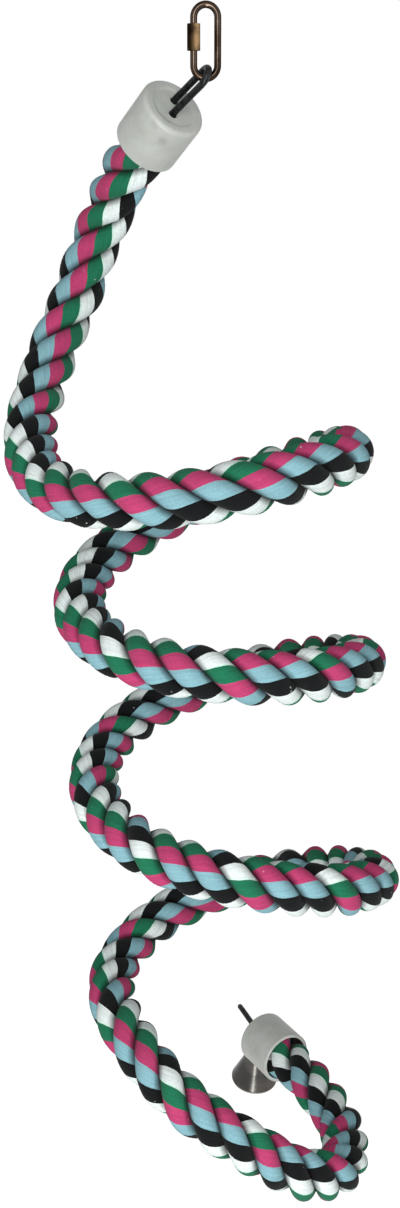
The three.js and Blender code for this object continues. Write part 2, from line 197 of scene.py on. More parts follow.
COIL_DRIFT_Y = 0.0013  # how far it moves to the front
COIL_PITCH = 0.0906  # down in a turn
COIL_PITCH_GAIN = 0.0143  # with the turns squared
RIGHT_LIFT = 0.0357  # how much higher a turn's right side stands than its centre
RIGHT_LIFT_LOSS = 0.0264  # in a turn
RIGHT_LIFT_BEND = 0.005  # with the turns squared
BACK_LIFT = 0.0091  # the same for a turn's back
BACK_LIFT_LOSS = 0.0042
BACK_LIFT_BEND = 0.0016
COIL_START = 255  # degrees: 180 is the left side, and 270 is the front
COIL_END = 1245
COIL_STEP = 30
STEPS_PER_POINT = 24


def camera():
    """The photograph's view: the lens and the place of a camera fitted to it."""
    data = bpy.data.cameras.new("camera")
    data.sensor_fit = "VERTICAL"
    data.sensor_height = 24
    data.lens = data.sensor_height * FOCAL_PIXELS / IMAGE_HEIGHT
    data.clip_start = 0.01
    data.clip_end = 50
    eye = bpy.data.objects.new("camera", data)
    eye.location = CAMERA_PLACE
    eye.rotation_euler = (math.pi / 2 - CAMERA_DOWN, 0, 0)
    bpy.context.scene.collection.objects.link(eye)
    bpy.context.scene.camera = eye


# Directions, places and meshes

def square_to(axis, direction):
    """The part of a direction that is square to an axis, at unit length."""
    return (direction - axis * direction.dot(axis)).normalized()


def basis(origin, x, y, z):
    """The placing of a piece whose own axes lie along these directions."""
    turn = Matrix((x, y, z)).transposed().to_4x4()
    return Matrix.Translation(origin) @ turn


class RopeEnd:
    """A cap's face and mouth, and the wire eye that stands on its face."""

    def __init__(self, face, axis, lean, spread):
        self.face = face
        self.axis = axis
        self.lean = lean
        self.leg_x = square_to(axis, spread)
        self.bow_x = square_to(lean, spread)
        self.mouth = face - axis * CAP_LENGTH
        self.bow_centre = face + lean * (EYE_REACH - EYE_SPREAD / 2)
        self.place = basis(face, self.leg_x, axis.cross(self.leg_x), axis)

    def leg(self, side):
        """The foot and the top of an eye's leg."""
        foot = self.face + self.leg_x * (side * EYE_SPREAD / 2) + self.axis * EYE_STRAIGHT
        return foot, self.bow_centre + self.bow_x * (side * EYE_SPREAD / 2)


LINK_BOTTOM = Vector((0, 0, LINK_WIRE / 2 - LINK_HEIGHT))
TOP_BOW = LINK_BOTTOM + TOP_SEAT * (LINK_WIRE / 2 + EYE_WIRE / 2 + EYE_SLACK)
TOP_END = RopeEnd(TOP_BOW - TOP_LEAN * EYE_REACH, TOP_AXIS, TOP_LEAN, TOP_SPREAD)
BOTTOM_END = RopeEnd(BOTTOM_MOUTH + BOTTOM_AXIS * CAP_LENGTH, BOTTOM_AXIS, BOTTOM_LEAN, BOTTOM_SPREAD)


def smooth_object(name, mesh):
    mesh.polygons.foreach_set("use_smooth", [True] * len(mesh.polygons))
    new = bpy.data.objects.new(name, mesh)
    bpy.context.scene.collection.objects.link(new)
    return new


def piece(name, vertices, faces, sharp=()):
    """A smooth-shaded object. sharp lists the edges, as pairs of vertices, where the shading breaks."""
    mesh = bpy.data.meshes.new(name)
    mesh.from_pydata([tuple(v) for v in vertices], [], faces)
    mesh.update()
    if sharp:
        wanted = {tuple(sorted(pair)) for pair in sharp}
        for edge in mesh.edges:
            edge.use_edge_sharp = tuple(sorted(edge.vertices)) in wanted
    return smooth_object(name, mesh)


def mesh_piece(name, build):
    """A smooth-shaded object from a bmesh, with its faces pointing out."""
    bmesh.ops.recalc_face_normals(build, faces=build.faces)
    mesh = bpy.data.meshes.new(name)
    build.to_mesh(mesh)
    build.free()
    return smooth_object(name, mesh)


def faces_between(lower, upper, sides):
    """The faces between two rings of vertices, each given by the number of its first vertex."""
    corners = [(k, (k + 1) % sides) for k in range(sides)]
    return [(lower + k, lower + n, upper + n, upper + k) for k, n in corners]


def end_faces(count, sides):
    """The faces that close the first and the last of a number of rings."""
    last = (count - 1) * sides
    return [tuple(reversed(range(sides))), tuple(range(last, last + sides))]


def drilled(shell, profile, sides, places):
    """Bores a hole at each place along X, with a turned profile as the drill."""
    drills = []
    for place in places:
        drill = turned(profile, sides)
        drill.transform(Matrix.Translation((place, 0, 0)))
        cutter = mesh_piece("drill", drill)
        cut = shell.modifiers.new("hole", "BOOLEAN")
        cut.operation = "DIFFERENCE"
        cut.object = cutter
        cut.solver = "EXACT"
        drills.append(cutter)
    graph = bpy.context.evaluated_depsgraph_get()
    mesh = bpy.data.meshes.new_from_object(shell.evaluated_get(graph))
    shell.modifiers.clear()
    shell.data = mesh
    for cutter in drills:
        bpy.data.objects.remove(cutter)


def frames_along(points, closed=False):
    """Each point with its tangent and two directions square to it, which turn as little as they can."""
    points = [Vector(p) for p in points]
    count = len(points)
    tangents = []
    for i in range(count):
        before = points[(i - 1) % count] if closed else points[max(i - 1, 0)]
        after = points[(i + 1) % count] if closed else points[min(i + 1, count - 1)]
        tangents.append((after - before).normalized())
    side = square_to(tangents[0], Z if abs(tangents[0].z) < 0.9 else X)
    result = []
    for point, tangent in zip(points, tangents):
        side = square_to(tangent, side)
        result.append((point, tangent, side, tangent.cross(side)))
    return result


def round_tube(name, points, radius, sides=24, closed=False, end_round=0.0):
    """A round bar along the points. end_round bevels its two ends."""
    rings = frames_along(points, closed)
    reach = [radius] * len(rings)
    if end_round and not closed:
        first, last = rings[0], rings[-1]
        rings = (
            [(first[0] - first[1] * end_round, *first[1:])] + rings
            + [(last[0] + last[1] * end_round, *last[1:])]
        )
        reach = [radius - end_round] + reach + [radius - end_round]
    vertices = []
    for (centre, _, side, up), r in zip(rings, reach):
        for k in range(sides):
            angle = 2 * math.pi * k / sides
            vertices.append(centre + side * (r * math.cos(angle)) + up * (r * math.sin(angle)))
    faces = []
    spans = len(rings) if closed else len(rings) - 1
    for i in range(spans):
        faces += faces_between(i * sides, (i + 1) % len(rings) * sides, sides)
    sharp = []
    if not closed:
        faces += end_faces(len(rings), sides)
        last = (len(rings) - 1) * sides
        for k in range(sides):
            n = (k + 1) % sides
            sharp += [(k, n), (last + k, last + n)]
    return piece(name, vertices, faces, sharp)


def turned(profile, segments):
    """A closed profile of radius and height, turned about the Z axis, as a bmesh."""
    angles = [2 * math.pi * k / segments for k in range(segments)]
    build = bmesh.new()
    rings = []
    for radius, height in profile:
        if radius < 1e-7:
            rings.append([build.verts.new((0, 0, height))] * segments)
            continue
        rings.append([
            build.verts.new((radius * math.cos(angle), radius * math.sin(angle), height)) for angle in angles
        ])
    for lower, upper in zip(rings, rings[1:]):
        for k in range(segments):
            n = (k + 1) % segments
            corners = []
            for vertex in (lower[k], lower[n], upper[n], upper[k]):
                if vertex not in corners:
                    corners.append(vertex)
            if len(corners) > 2:
                build.faces.new(corners)
    return build


def rounded(profile, radius_at, steps=6):
    """A profile with some of its corners rounded. radius_at gives a corner's number and its radius."""
    result = []
    for i, corner in enumerate(profile):
        if i not in radius_at:
            result.append(corner)
            continue
        here = Vector(corner)
        before = Vector(profile[i - 1]) - here
        after = Vector(profile[i + 1]) - here
        half = before.angle(after) / 2
        reach = min(radius_at[i] / math.tan(half), before.length * 0.49, after.length * 0.49)
        radius = reach * math.tan(half)
        centre = here + (before.normalized() + after.normalized()).normalized() * (radius / math.sin(half))
        start = here + before.normalized() * reach - centre
        end = here + after.normalized() * reach - centre
        for step in range(steps + 1):
            arm = start.lerp(end, step / steps).normalized() * radius
            result.append(tuple(centre + arm))
    return result


def arc(centre, radius, first, second, start, end, count):
    """Points on an arc from one direction towards another. Angles are in degrees."""
    points = []
    for i in range(count + 1):
        angle = math.radians(start + (end - start) * i / count)
        points.append(centre + first * (radius * math.cos(angle)) + second * (radius * math.sin(angle)))
    return points


def smooth_line(points, steps):
    """A centripetal curve through the points, with that many steps between two of them."""
    points = [Vector(p) for p in points]
    padded = [2 * points[0] - points[1], *points, 2 * points[-1] - points[-2]]
    result = []
    for i in range(1, len(padded) - 2):
        p0, p1, p2, p3 = padded[i - 1:i + 3]
        d1 = max((p1 - p0).length, 1e-9) ** 0.5
        d2 = max((p2 - p1).length, 1e-9) ** 0.5
        d3 = max((p3 - p2).length, 1e-9) ** 0.5
        m1 = (p1 - p0) / d1 - (p2 - p0) / (d1 + d2) + (p2 - p1) / d2
        m2 = (p2 - p1) / d2 - (p3 - p1) / (d2 + d3) + (p3 - p2) / d3
        m1 *= d2
        m2 *= d2
        for step in range(steps):
            t = step / steps
            result.append(
                p1 * (2 * t ** 3 - 3 * t ** 2 + 1) + m1 * (t ** 3 - 2 * t ** 2 + t)
                + p2 * (3 * t ** 2 - 2 * t ** 3) + m2 * (t ** 3 - t ** 2)
            )
    result.append(points[-1])
    return result


# The rope's centre line

def coil_point(degrees):
    """A point of the coil, which widens downwards and whose right side stands higher than its left."""
    turns = (degrees - 180) / 360
    angle = math.radians(degrees)
    radius = COIL_RADIUS + COIL_WIDENING * turns
    right_lift = RIGHT_LIFT - RIGHT_LIFT_LOSS * turns + RIGHT_LIFT_BEND * turns ** 2
    back_lift = BACK_LIFT - BACK_LIFT_LOSS * turns - BACK_LIFT_BEND * turns ** 2
    return COIL_PLACE + Vector((
        COIL_DRIFT_X * turns + COIL_DRIFT_BEND * turns ** 2 + radius * math.cos(angle),
        -COIL_DRIFT_Y * turns + radius * math.sin(angle),
        -COIL_PITCH * turns - COIL_PITCH_GAIN * turns ** 2
        + right_lift * math.cos(angle) + back_lift * math.sin(angle),
    ))


def route_points():
    in_cap = CAP_LENGTH - CAP_FACE - FERRULE_LENGTH - 2 * FIT_GAP
    distances = (in_cap, in_cap - ROPE_DIAMETER / 2, in_cap - ROPE_DIAMETER, -BESIDE_CAP)
    top = [TOP_END.mouth + TOP_END.axis * d for d in distances]
    bottom = [BOTTOM_END.mouth + BOTTOM_END.axis * d for d in reversed(distances)]
    coil = [coil_point(degrees) for degrees in range(COIL_START, COIL_END + 1, COIL_STEP)]
    return top + [Vector(p) for p in LEAD_IN] + coil + [Vector(p) for p in TAIL] + bottom


def centre_line():
    """Points a RING_STEP apart on the smooth line through the route's points, and how far along each is."""
    points = route_points()
    padded = [2 * points[0] - points[1], *points, 2 * points[-1] - points[-2]]
    fine = []
    for i in range(1, len(padded) - 2):
        p0, p1, p2, p3 = (np.array(p) for p in padded[i - 1:i + 3])
        for step in range(STEPS_PER_POINT):
            t = step / STEPS_PER_POINT
            fine.append(0.5 * (
                2 * p1 + (p2 - p0) * t + (2 * p0 - 5 * p1 + 4 * p2 - p3) * t ** 2
                + (3 * p1 - p0 - 3 * p2 + p3) * t ** 3
            ))
    fine.append(np.array(points[-1]))
    fine = np.array(fine)
    travelled = np.concatenate([[0], np.cumsum(np.linalg.norm(np.diff(fine, axis=0), axis=1))])
    count = round(travelled[-1] / RING_STEP)
    even = np.linspace(0, travelled[-1], count + 1)
    line = np.stack([np.interp(even, travelled, fine[:, axis]) for axis in range(3)], axis=1)
    return line, even


def groove_turn(half):
    """The turn round the strand at which its section meets the groove's plane, from the outside."""
    turn = 0.0
    step = math.radians(0.1)
    while turn < math.pi:
        x = STRAND_CENTRE + STRAND_DEEP * math.cos(turn)
        y = STRAND_WIDE * math.sin(turn)
        if math.atan2(y, x) >= half:
            return turn
        turn += step
    return turn


def lobe_outline():
    """One strand's visible outline, from the groove on one side to the groove on the other.

    Each point is a distance from the rope's axis, an angle about it and a turn round the strand."""
    turn = groove_turn(math.pi / STRANDS)
    outline = []
    for column in range(LOBE_COLUMNS + 1):
        psi = turn * (2 * column / LOBE_COLUMNS - 1)
        x = STRAND_CENTRE + STRAND_DEEP * math.cos(psi)
        y = STRAND_WIDE * math.sin(psi)
        outline.append((math.hypot(x, y), math.atan2(y, x), psi))
    return outline


def between(knots, places):
    """The values between given knots at some places."""
    return np.interp(places, [place for place, _ in knots], [value for _, value in knots])


def smoothed(values):
    """A running mean, with the values carried on in a straight line past both ends."""
    half = LAY_SMOOTHING // 2
    steps = np.arange(1, half + 1)
    before = values[0] - (values[1] - values[0]) * steps[::-1]
    after = values[-1] + (values[-1] - values[-2]) * steps
    longer = np.concatenate([before, values, after])
    return np.convolve(longer, np.ones(LAY_SMOOTHING) / LAY_SMOOTHING, "valid")


def rope_vertices(rings, even, lay, outline):
    """The rings of vertices over the strands, which swell and thin a little on the way."""
    vertices = []
    for (centre, _, side, up), travelled, turns in zip(rings, even, lay):
        for strand in range(STRANDS):
            middle = 2 * math.pi * (turns + strand / STRANDS)
            plump = 1 + sum(
                share * math.sin(travelled * pace + shift * strand) for share, pace, shift in SWELLING
            )
            for reach, angle, _ in outline[:-1]:
                r = reach * plump
                theta = middle + angle
                vertices.append(centre + side * (r * math.cos(theta)) + up * (r * math.sin(theta)))
    return vertices


def band_starts(even, lay):
    """How far the bands have moved in the middle of each strand's outside, at every ring.

    As a strand turns round the rope, the colours turn back round it, and so run nearly along the rope."""
    drift = smoothed(between(BAND_DRIFT, even))
    starts = [2 * BANDS * (lay + strand / STRANDS) + drift for strand in range(STRANDS)]
    starts[-1] = starts[-1] - smoothed(between(LAST_STRAND_LAG, even))
    return starts


def rope(line, even):
    """Three strands laid round each other, as one closed skin with a groove between each two.

    Each corner keeps its band round the strand, its metres along the rope and how near the groove it is."""
    rings = frames_along(line)
    outline = lobe_outline()
    columns = STRANDS * LOBE_COLUMNS
    lay = smoothed(between(LAY, even))
    starts = band_starts(even, lay)
    faces = []
    band = []
    along = []
    depth = []
    sharp = []
    for i in range(len(rings) - 1):
        faces += faces_between(i * columns, (i + 1) * columns, columns)
        for column in range(columns):
            strand, place = divmod(column, LOBE_COLUMNS)
            for ring, spot in ((i, place), (i, place + 1), (i + 1, place + 1), (i + 1, place)):
                psi = outline[spot][2]
                band.append(BANDS * psi / (2 * math.pi) + starts[strand][ring])
                along.append(even[ring])
                depth.append(abs(psi) / outline[-1][2])
        for strand in range(STRANDS):
            groove = i * columns + strand * LOBE_COLUMNS
            sharp.append((groove, groove + columns))
    faces += end_faces(len(rings), columns)
    new = piece("rope_strands", rope_vertices(rings, even, lay, outline), faces, sharp)
    for name, values in (("band", band), ("along", along), ("depth", depth)):
        # The two end faces lie hidden in the caps, and any value does there
        values += [0.5] * (2 * columns)
        attribute = new.data.attributes.new(name, "FLOAT", "CORNER")
        attribute.data.foreach_set("value", np.array(values, np.float32))
    return new


# Materials

def linear(code):
    """A colour given by six hexadecimal digits, as linear values."""
    values = [int(code[i:i + 2], 16) / 255 for i in (1, 3, 5)]
    return tuple(v / 12.92 if v <= 0.04045 else ((v + 0.055) / 1.055) ** 2.4 for v in values) + (1,)


class Nodes:
    """A material's node tree, with short calls for the nodes that the materials here share."""

    def __init__(self, name, **sockets):
        self.material = bpy.data.materials.new(name)
        self.material.use_nodes = True
        self.tree = self.material.node_tree
        self.shader = self.tree.nodes["Principled BSDF"]
        for socket, value in sockets.items():
            self.shader.inputs[socket.replace("_", " ")].default_value = value

    def add(self, kind, **settings):
        node = self.tree.nodes.new(kind)
        for key, value in settings.items():
            setattr(node, key, value)
        return node

    def link(self, start, end):
        self.tree.links.new(start, end)

    def feed(self, socket, value):
        """Sets a socket to a constant, or links it to another node's output."""
        if isinstance(value, (int, float, tuple)):
            socket.default_value = value
        else:
            self.link(value, socket)

    def attribute(self, name):
        """A value that the mesh keeps for each vertex or corner."""
        return self.add("ShaderNodeAttribute", attribute_name=name).outputs["Fac"]

    def place(self):
        """The place on the object, in metres."""
        return self.add("ShaderNodeTexCoord").outputs["Object"]

    def math(self, operation, first, second=None, third=None):
        node = self.add("ShaderNodeMath", operation=operation)
        for socket, value in zip(node.inputs, (first, second, third)):
            if value is not None:
                self.feed(socket, value)
        return node.outputs[0]

    def noise(self, vector, scale, detail=2.0, roughness=0.5):
        """A cloudy value from 0 to 1, with features of about 1 / scale of the vector's unit."""
        node = self.add("ShaderNodeTexNoise")
        node.inputs["Scale"].default_value = scale
        node.inputs["Detail"].default_value = detail
        node.inputs["Roughness"].default_value = roughness
        self.link(vector, node.inputs["Vector"])
        return node.outputs["Fac"]

    def vector(self, x, y, z=0.0):
        node = self.add("ShaderNodeCombineXYZ")
        for socket, value in zip(node.inputs, (x, y, z)):
            self.feed(socket, value)
        return node.outputs[0]

    def ramp(self, factor, stops, interpolation="LINEAR"):
        """The colour at a value between stops, each a value and its colour."""
        node = self.add("ShaderNodeValToRGB")
        node.color_ramp.interpolation = interpolation
        elements = node.color_ramp.elements
        while len(elements) < len(stops):
            elements.new(0.5)
        for element, (place, colour) in zip(elements, stops):
            element.position = place
            element.color = colour
        self.link(factor, node.inputs["Fac"])
        return node.outputs["Color"]

    def grey(self, factor, low, high, dark, light):
        """Greys from dark to light as a value goes from low to high."""
        return self.ramp(factor, [(low, (dark, dark, dark, 1)), (high, (light, light, light, 1))])

    def mix(self, factor, first, second):
        """Goes from the first colour to the second as the factor goes from 0 to 1."""
        return self.blended("MIX", factor, first, second)

    def tinted(self, first, second):
        """One colour multiplied by another."""
        return self.blended("MULTIPLY", 1.0, first, second)

    def blended(self, kind, factor, first, second):
        # The mix node's sockets 6 and 7, and its output 2, are those for colours
        node = self.add("ShaderNodeMix", data_type="RGBA", blend_type=kind)
        for socket, value in ((0, factor), (6, first), (7, second)):
            self.feed(node.inputs[socket], value)
        return node.outputs[2]

    def distance(self, place, point):
        node = self.add("ShaderNodeVectorMath", operation="DISTANCE")
        self.feed(node.inputs[0], place)
        self.feed(node.inputs[1], point)
        return node.outputs["Value"]

    def colour(self, value):
        self.link(value, self.shader.inputs["Base Color"])

    def roughness(self, value):
        self.link(value, self.shader.inputs["Roughness"])

    def bump(self, height, distance, strength, under=None):
        """Relief of a height from 0 to 1 times the distance in metres, on top of the relief under it."""
        node = self.add("ShaderNodeBump")
        node.inputs["Distance"].default_value = distance
        node.inputs["Strength"].default_value = strength
        self.link(height, node.inputs["Height"])
        if under:
            self.link(under, node.inputs["Normal"])
        self.link(node.outputs[0], self.shader.inputs["Normal"])
        return node.outputs[0]


# The rope's colours, in their order round a strand. A thin mint edge lies between the white and the green.
BLACK = linear("#101213")
WHITE = linear("#e1ebe9")
MINT = linear("#cfeee0")
GREEN = linear("#1f6f50")
PINK = linear("#b63f6c")
BLUE = linear("#83afb9")
COLOUR_STARTS = [(0, BLACK), (0.2, WHITE), (0.382, MINT), (0.4, GREEN), (0.6, PINK), (0.8, BLUE)]
YARNS_PER_BAND = 9


def cotton():
    """Soft cotton in five colours, with the yarns' fine lines along each band and painted shade in the
    grooves between the strands.
    """
    nodes = Nodes("cotton", Roughness=0.92, Sheen_Weight=0.04, Sheen_Roughness=0.6, Specular_IOR_Level=0.12)
    band = nodes.attribute("band")
    along = nodes.attribute("along")
    depth = nodes.attribute("depth")
    # The bands' edges wander a little
    wander = nodes.vector(nodes.math("MULTIPLY", along, 130), nodes.math("MULTIPLY", band, 0.6))
    edge = nodes.math("MULTIPLY_ADD", nodes.noise(wander, 1), 0.1, -0.05)
    turn = nodes.math("FRACT", nodes.math("DIVIDE", nodes.math("ADD", band, edge), BANDS))
    colour = nodes.ramp(turn, COLOUR_STARTS, "CONSTANT")
    # The yarns show as fine lines along the bands
    across = nodes.math("MULTIPLY", band, YARNS_PER_BAND)
    lines = nodes.noise(nodes.vector(across, nodes.math("MULTIPLY", along, 45)), 1, 3, 0.6)
    colour = nodes.tinted(colour, nodes.grey(lines, 0.25, 0.75, 0.84, 1.18))
    # The cotton's fibres catch light unevenly
    place = nodes.place()
    fuzz = nodes.noise(place, 900, 4, 0.7)
    colour = nodes.tinted(colour, nodes.grey(fuzz, 0.3, 0.7, 0.9, 1.14))
    # Specks of lint
    lint = nodes.grey(nodes.noise(place, 420, 1, 0.5), 0.79, 0.81, 0, 0.6)
    colour = nodes.mix(lint, colour, linear("#e8ecea"))
    # Painted shade, darkening towards the grooves between the strands
    nodes.colour(nodes.tinted(colour, nodes.grey(depth, 0.66, 1.0, 1.0, 0.08)))
    nodes.bump(fuzz, 0.0003, 0.6, nodes.bump(lines, 0.0005, 0.7))
    return nodes.material


# Painted shade of two small dimples on the top cap's side: the place of each, and how much of the light it
# gives back
PAINTED_DIMPLE_SHADES = [((-0.0249, 0.0078, -0.0704), 0.72), ((-0.0296, 0.0033, -0.0615), 0.85)]
DIMPLE_RADIUS = 0.0011


def plastic():
    """Off-white moulded plastic, a little uneven and scuffed, with a painted highlight on the mouth's bevel
    and painted shade in the bore.
    """
    nodes = Nodes("cap_plastic", Specular_IOR_Level=0.45, Subsurface_Weight=0.08, Subsurface_Scale=0.004)
    place = nodes.place()
    cloud = nodes.noise(place, 60, 3, 0.5)
    dirt = nodes.noise(place, 260, 5, 0.65)
    colour = nodes.ramp(cloud, [(0.3, linear("#b5b9b2")), (0.7, linear("#c5c9c3"))])
    painted_light = nodes.attribute("painted_light")
    # Painted highlight on the mouth's bevel
    colour = nodes.mix(nodes.grey(painted_light, 0.1, 0.9, 0, 0.85), colour, linear("#eef1ec"))
    # Painted shade in the bore
    inside = nodes.math("MULTIPLY", painted_light, -1)
    colour = nodes.mix(nodes.grey(inside, 0.05, 0.6, 0, 0.9), colour, linear("#2a2b2a"))
    # Painted shade in the dimples
    for centre, shade in PAINTED_DIMPLE_SHADES:
        away = nodes.distance(place, centre)
        colour = nodes.tinted(colour, nodes.grey(away, DIMPLE_RADIUS / 3, DIMPLE_RADIUS, shade, 1.0))
    nodes.colour(nodes.tinted(colour, nodes.grey(dirt, 0.25, 0.5, 0.9, 1.0)))
    nodes.roughness(nodes.grey(dirt, 0.3, 0.7, 0.36, 0.52))
    nodes.bump(nodes.noise(place, 700, 3, 0.6), 0.00012, 0.5, nodes.bump(cloud, 0.0006, 0.35))
    return nodes.material


def dark_wire():
    """Dark annealed steel wire with a satin skin and rubbed places."""
    nodes = Nodes("dark_wire", Metallic=0.85, Specular_IOR_Level=0.5)
    place = nodes.place()
    patches = nodes.noise(place, 320, 4, 0.65)
    nodes.colour(nodes.ramp(patches, [(0.35, linear("#0d0e0f")), (0.7, linear("#333536"))]))
    nodes.roughness(nodes.grey(patches, 0.3, 0.7, 0.5, 0.3))
    nodes.bump(nodes.noise(place, 1400, 3, 0.6), 0.0001, 0.5)
    return nodes.material


# The colour of plated metal's reflections at its edges
DARK_EDGE = (0.12, 0.1, 0.08, 1)
# How far the nut's outer side is from the link's middle
NUT_LEFT = 0.0105


def plated(name, bright, stain_and_reflection, patch_scale, roughness, gloss=0.0, painted_dark_reflection=False):
    """Finely scratched plate with dark patches of about 1 / patch_scale metres, partly stains and partly
    painted reflection.

    Roughness is its lowest and highest value, and the last argument paints a dark reflection on the nut's
    outer side."""
    nodes = Nodes(name, Metallic=1.0, Specular_Tint=DARK_EDGE, Coat_Weight=gloss, Coat_Roughness=0.24)
    place = nodes.place()
    patches = nodes.noise(place, patch_scale, 3, 0.55)
    # Dark patches: partly stains, partly painted reflection
    colour = nodes.ramp(patches, [(0.42, linear(stain_and_reflection)), (0.58, linear(bright))])
    # A painted dark reflection, darkest on the nut's outer side
    if painted_dark_reflection:
        split = nodes.add("ShaderNodeSeparateXYZ")
        nodes.link(place, split.inputs[0])
        across = nodes.math("MULTIPLY_ADD", split.outputs["X"], 1 / NUT_ACROSS, NUT_LEFT / NUT_ACROSS)
        colour = nodes.tinted(colour, nodes.grey(across, 0.25, 0.6, 0.1, 1.0))
    # A painted highlight on the bell's lip
    lip_highlight = nodes.grey(nodes.attribute("painted_light"), 0.2, 0.9, 0, 1)
    nodes.colour(nodes.mix(lip_highlight, colour, linear("#d2cdc6")))
    scratches = nodes.noise(place, 900, 5, 0.7)
    nodes.roughness(nodes.grey(scratches, 0.3, 0.75, *roughness))
    return nodes.material


def drawn_steel():
    """Plain drawn steel with lines along it."""
    nodes = Nodes("drawn_steel", Metallic=0.95)
    stretch = nodes.add("ShaderNodeMapping")
    stretch.inputs["Scale"].default_value = (1, 1, 0.06)
    nodes.link(nodes.place(), stretch.inputs["Vector"])
    lines = nodes.noise(stretch.outputs[0], 1200, 3, 0.6)
    nodes.colour(nodes.ramp(lines, [(0.3, linear("#7f8285")), (0.7, linear("#a9acaf"))]))
    nodes.roughness(nodes.grey(lines, 0.3, 0.7, 0.3, 0.45))
    nodes.bump(lines, 0.00005, 0.5)
    return nodes.material


def mark_painted_light(shell, value_at):
    """Keeps on each vertex how much painted highlight (above 0) or painted shade (below 0) its place gets."""
    painted_light = shell.data.attributes.new("painted_light", "FLOAT", "POINT")
    for vertex in shell.data.vertices:
        radius = math.hypot(vertex.co.x, vertex.co.y)
        painted_light.data[vertex.index].value = value_at(radius, vertex.co.z)


def wear(obj, material):
    """Gives an object its one material."""
    obj.data.materials.clear()
    obj.data.materials.append(material)


# Pieces

def dress_rope(material, core_material):
    """The strands and the core wire inside them, which stretch between the perch and the tail."""
    line, even = centre_line()
    strands = rope(line, even)
    wear(strands, material)
    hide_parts("rope")
    core_end = FIT_GAP + FERRULE_LENGTH
    ends = [Vector(line[0]) + TOP_END.axis * core_end, Vector(line[-1]) + BOTTOM_END.axis * core_end]
    core = round_tube("core_spring", [ends[0], *line[::3], ends[1]], CORE_WIRE / 2, 12)
    wear(core, core_material)
    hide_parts("core_wire")
    for obj in (strands, core):
        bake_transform(obj)


def cap(name, node, body, end, material):
    """A moulded cup, whose closed end has a rounded edge round a shallow dish with two holes for the wire."""
    bore = ROPE_DIAMETER / 2 + ROPE_IN_CAP_GAP
    outer = bore + CAP_WALL
    profile = [
        (0, -CAP_FACE),
        (bore, -CAP_FACE),
        (bore, -CAP_LENGTH + CAP_LIP),
        (bore + CAP_LIP, -CAP_LENGTH),
        (outer, -CAP_LENGTH),
        (outer, 0),
        (outer - DISH_START, 0),
        (outer - DISH_END, -DISH),
        (0, -DISH),
    ]
    shell = mesh_piece(name, turned(rounded(profile, CAP_CORNERS, 8), 96))
    hole = EYE_WIRE / 2 + LEG_HOLE_GAP
    below = -CAP_FACE - 0.002
    above = 0.0008
    drill = [(0, below), (hole, below), (hole, -DISH - 0.0004), (hole + HOLE_CHAMFER, above), (0, above)]
    drilled(shell, drill, 32, (-EYE_SPREAD / 2, EYE_SPREAD / 2))
    shell.data.set_sharp_from_angle(angle=math.radians(35))

    def painted_light(radius, height):
        """-1 for painted shade in the bore, 1 for a painted highlight on the mouth's bevel, and 0 elsewhere.
        """
        close = 0.0002
        if radius < bore + close and -CAP_LENGTH + close < height < -CAP_FACE + 0.001:
            return -1
        near_mouth = height < -CAP_LENGTH + CAP_LIP
        return 1 if near_mouth and radius < outer - 0.0008 else 0

    mark_painted_light(shell, painted_light)
    shell.data.transform(end.place)
    wear(shell, material)
    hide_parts(node)
    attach(shell, body)


def eye(name, node, body, end, material):
    """The wire's two legs and the bow that joins them."""
    depth = CAP_FACE + FERRULE_LENGTH

    def leg(side):
        hole = end.face + end.leg_x * (side * EYE_SPREAD / 2)
        foot, top = end.leg(side)
        hidden = [hole - end.axis * depth, hole - end.axis * CAP_FACE]
        return hidden + [foot, foot.lerp(top, 0.3), foot.lerp(top, 0.7)]

    bow = arc(end.bow_centre, EYE_SPREAD / 2, end.bow_x, end.lean, 0, 180, 8)
    line = smooth_line([*leg(1), *bow, *reversed(leg(-1))], 8)
    wire = round_tube(name, line, EYE_WIRE / 2, 24, end_round=WIRE_END_ROUND)
    wear(wire, material)
    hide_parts(node)
    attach(wire, body)


def quick_link(material):
    """The bent wire, with the rounded ends that face each other inside the nut."""
    bow = LINK_WIDTH / 2
    upper = LINK_WIRE / 2 - bow
    lower = LINK_WIRE / 2 - LINK_HEIGHT + bow
    line = [
        Vector((-bow, 0, -LINK_GAP_TOP + LINK_END_ROUND)),
        Vector((-bow, 0, (upper - LINK_GAP_TOP) / 2)),
        *arc(Vector((0, 0, upper)), bow, X, Z, 180, 0, 24),
        Vector((bow, 0, (upper + lower) / 2)),
        *arc(Vector((0, 0, lower)), bow, X, Z, 0, -180, 24),
        Vector((-bow, 0, (lower - LINK_GAP_TOP - LINK_GAP) / 2)),
        Vector((-bow, 0, -LINK_GAP_TOP - LINK_GAP - LINK_END_ROUND)),
    ]
    link = round_tube("quick_link_wire", line, LINK_WIRE / 2, 28, end_round=LINK_END_ROUND)
    wear(link, material)
    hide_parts("quick_link")
    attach(link, "link")


